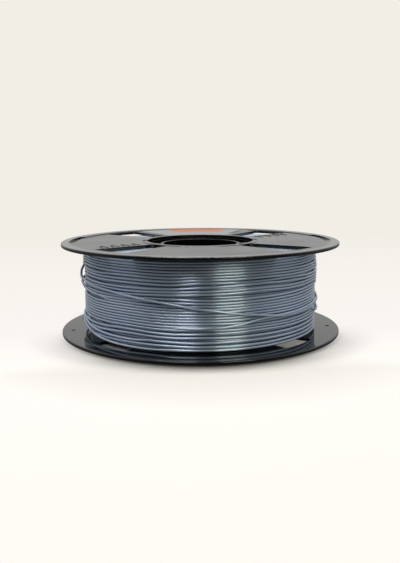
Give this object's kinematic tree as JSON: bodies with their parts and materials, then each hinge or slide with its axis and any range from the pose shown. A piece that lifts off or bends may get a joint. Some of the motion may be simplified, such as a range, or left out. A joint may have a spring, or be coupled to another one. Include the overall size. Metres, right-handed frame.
{
  "type": "filament spool",
  "caption": "Black flanged spool, wound full of round 3D-printing filament, with a bore for a spindle and windows in its flanges.",
  "frame": {"origin": "on the axis of the spool, in the plane of the lower flange's outer rim, which it stands on", "axes": "+Z along the axis, from the lower flange to the upper one; -Y towards the front, opposite the label; the windows lie at 45 degrees to X and Y"},
  "size_m": [0.2, 0.2, 0.065],
  "materials": {
    "flange_plastic": "moulded black plastic, satin to glossy",
    "drum_plastic": "moulded black plastic, satin",
    "inner_filament": "drawn filament, silky",
    "filament": "drawn filament, silky",
    "label_paper": "coated paper, blank"
  },
  "bodies": {
    "root": {"lower_flange": "flange_plastic", "upper_flange": "flange_plastic", "drum": "drum_plastic", "filament_inner_layers": "inner_filament", "filament_outer_turns": "filament", "label": "label_paper"}
  },
  "joints": []
}
